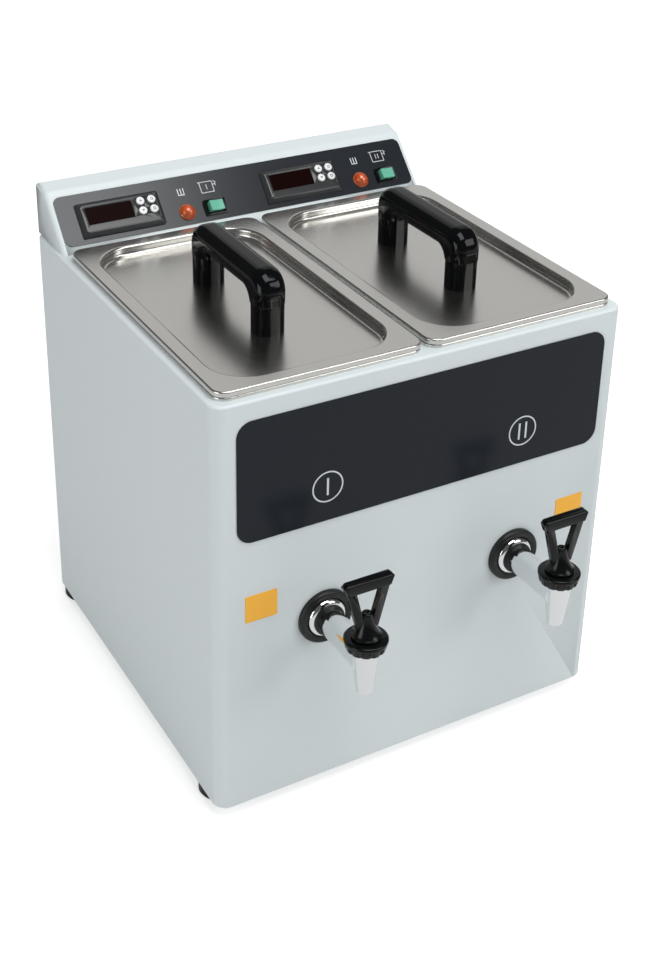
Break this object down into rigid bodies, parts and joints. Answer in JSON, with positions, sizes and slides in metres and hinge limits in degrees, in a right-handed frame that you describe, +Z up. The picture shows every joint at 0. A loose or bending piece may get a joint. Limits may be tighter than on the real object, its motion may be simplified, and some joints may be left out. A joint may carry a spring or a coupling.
{
  "type": "paraffin dispenser",
  "caption": "Bench wax dispenser: lidded heated tanks side by side in a sheet casing, sloped control head at the back, spring-closed lever taps with down spouts on the front.",
  "frame": {"origin": "middle of the whole outline on the ground, on the surface the feet stand on", "axes": "+X to the right along the front, +Y to the back, away from the taps, +Z up"},
  "size_m": [0.34, 0.4132, 0.3998],
  "materials": {
    "casing_paint": "pale grey powder coat, fine texture",
    "stainless": "satin stainless",
    "pipe_steel": "plain steel",
    "tap_chrome": "polished chrome",
    "brass": "plain brass",
    "screw_steel": "zinc plated",
    "black_grip": "glossy black thermoset",
    "black_plastic": "satin black",
    "overlay_dark": "dark satin film",
    "amber_film": "amber film",
    "rubber": "soft black rubber",
    "silicone": "white silicone",
    "window": "dark red tinted window",
    "lamp": "orange translucent lens",
    "green_key": "green translucent rocker",
    "white_key": "white button",
    "wool": "mineral wool",
    "heater": "silicone heating band",
    "board": "circuit board with relays"
  },
  "bodies": {
    "cabinet": {"outer_casing": "casing_paint", "rear_panel": "casing_paint", "base_plate": "casing_paint", "feet": "rubber", "foot_screws": "screw_steel", "rear_panel_screws": "screw_steel", "head_cover": "casing_paint", "control_overlay": "overlay_dark", "front_overlay": "overlay_dark", "amber_patches": "amber_film", "inlet_body": "black_plastic", "inlet_pins": "screw_steel", "power_board": "board", "tank_heaters": "heater", "tank_insulation": "wool", "temperature_sensors": "pipe_steel", "outlet_elbows": "pipe_steel", "tap_lock_nuts": "brass", "tap_rubber_rings": "rubber", "tap_bells": "tap_chrome", "tap_seals": "rubber", "controller_windows": "window", "lamp_lenses": "lamp", "switch_frames": "black_plastic", "tank_1": "stainless", "controller_1": "black_plastic", "tap_1_body": "tap_chrome", "tap_1_bonnet": "black_plastic", "tap_1_spring": "screw_steel", "tank_2": "stainless", "controller_2": "black_plastic", "tap_2_body": "tap_chrome", "tap_2_bonnet": "black_plastic", "tap_2_spring": "screw_steel"},
    "lid_1": {"lid_1": "stainless", "lid_1_grip": "black_grip", "lid_1_handle_posts": "black_grip", "lid_1_handle_screws": "screw_steel"},
    "tap_1_stem": {"tap_1_stem": "screw_steel", "tap_1_seat_cup": "silicone", "tap_1_lever_pin": "screw_steel"},
    "tap_1_lever": {"tap_1_lever": "black_plastic"},
    "switch_1_rocker": {"switch_1_rocker": "green_key"},
    "controller_1_down_button": {"controller_1_down_button": "white_key"},
    "controller_1_up_button": {"controller_1_up_button": "white_key"},
    "controller_1_set_button": {"controller_1_set_button": "white_key"},
    "controller_1_lamp_button": {"controller_1_lamp_button": "white_key"},
    "lid_2": {"lid_2": "stainless", "lid_2_grip": "black_grip", "lid_2_handle_posts": "black_grip", "lid_2_handle_screws": "screw_steel"},
    "tap_2_stem": {"tap_2_stem": "screw_steel", "tap_2_seat_cup": "silicone", "tap_2_lever_pin": "screw_steel"},
    "tap_2_lever": {"tap_2_lever": "black_plastic"},
    "switch_2_rocker": {"switch_2_rocker": "green_key"},
    "controller_2_down_button": {"controller_2_down_button": "white_key"},
    "controller_2_up_button": {"controller_2_up_button": "white_key"},
    "controller_2_set_button": {"controller_2_set_button": "white_key"},
    "controller_2_lamp_button": {"controller_2_lamp_button": "white_key"}
  },
  "joints": [
    {"name": "lid_1_lift", "type": "slide", "parent": "cabinet", "child": "lid_1", "axis": [0, 0, 1], "range_m": [0, 0.12]},
    {"name": "tap_1_stem_lift", "type": "slide", "parent": "cabinet", "child": "tap_1_stem", "axis": [0, 0, 1], "range_m": [0, 0.00419], "stiffness_N_per_m": 150, "springref_m": -0.003, "deforming": ["tap_1_spring"]},
    {"name": "tap_1_lever_pull", "type": "hinge", "parent": "tap_1_stem", "child": "tap_1_lever", "pos_m": [-0.08315, -0.1907, 0.189], "axis": [1, 0, 0], "range_deg": [0, 30]},
    {"name": "switch_1_press", "type": "hinge", "parent": "cabinet", "child": "switch_1_rocker", "pos_m": [-0.02855, 0.15594, 0.36593], "axis": [0, 0.6909, 0.723], "range_deg": [-12, 0]},
    {"name": "controller_1_down_button_press", "type": "slide", "parent": "cabinet", "child": "controller_1_down_button", "axis": [0, 0.723, -0.6909], "range_m": [0, 0.0008], "stiffness_N_per_m": 60, "springref_m": -0.0005},
    {"name": "controller_1_up_button_press", "type": "slide", "parent": "cabinet", "child": "controller_1_up_button", "axis": [0, 0.723, -0.6909], "range_m": [0, 0.0008], "stiffness_N_per_m": 60, "springref_m": -0.0005},
    {"name": "controller_1_set_button_press", "type": "slide", "parent": "cabinet", "child": "controller_1_set_button", "axis": [0, 0.723, -0.6909], "range_m": [0, 0.0008], "stiffness_N_per_m": 60, "springref_m": -0.0005},
    {"name": "controller_1_lamp_button_press", "type": "slide", "parent": "cabinet", "child": "controller_1_lamp_button", "axis": [0, 0.723, -0.6909], "range_m": [0, 0.0008], "stiffness_N_per_m": 60, "springref_m": -0.0005},
    {"name": "lid_2_lift", "type": "slide", "parent": "cabinet", "child": "lid_2", "axis": [0, 0, 1], "range_m": [0, 0.12]},
    {"name": "tap_2_stem_lift", "type": "slide", "parent": "cabinet", "child": "tap_2_stem", "axis": [0, 0, 1], "range_m": [0, 0.00419], "stiffness_N_per_m": 150, "springref_m": -0.003, "deforming": ["tap_2_spring"]},
    {"name": "tap_2_lever_pull", "type": "hinge", "parent": "tap_2_stem", "child": "tap_2_lever", "pos_m": [0.08315, -0.1907, 0.189], "axis": [1, 0, 0], "range_deg": [0, 30]},
    {"name": "switch_2_press", "type": "hinge", "parent": "cabinet", "child": "switch_2_rocker", "pos_m": [0.13775, 0.15594, 0.36593], "axis": [0, 0.6909, 0.723], "range_deg": [-12, 0]},
    {"name": "controller_2_down_button_press", "type": "slide", "parent": "cabinet", "child": "controller_2_down_button", "axis": [0, 0.723, -0.6909], "range_m": [0, 0.0008], "stiffness_N_per_m": 60, "springref_m": -0.0005},
    {"name": "controller_2_up_button_press", "type": "slide", "parent": "cabinet", "child": "controller_2_up_button", "axis": [0, 0.723, -0.6909], "range_m": [0, 0.0008], "stiffness_N_per_m": 60, "springref_m": -0.0005},
    {"name": "controller_2_set_button_press", "type": "slide", "parent": "cabinet", "child": "controller_2_set_button", "axis": [0, 0.723, -0.6909], "range_m": [0, 0.0008], "stiffness_N_per_m": 60, "springref_m": -0.0005},
    {"name": "controller_2_lamp_button_press", "type": "slide", "parent": "cabinet", "child": "controller_2_lamp_button", "axis": [0, 0.723, -0.6909], "range_m": [0, 0.0008], "stiffness_N_per_m": 60, "springref_m": -0.0005}
  ],
  "couplings": [
    {"joint": "tap_1_lever_pull", "follows": "tap_1_stem_lift", "rad_per_m": 125},
    {"joint": "tap_2_lever_pull", "follows": "tap_2_stem_lift", "rad_per_m": 125}
  ]
}
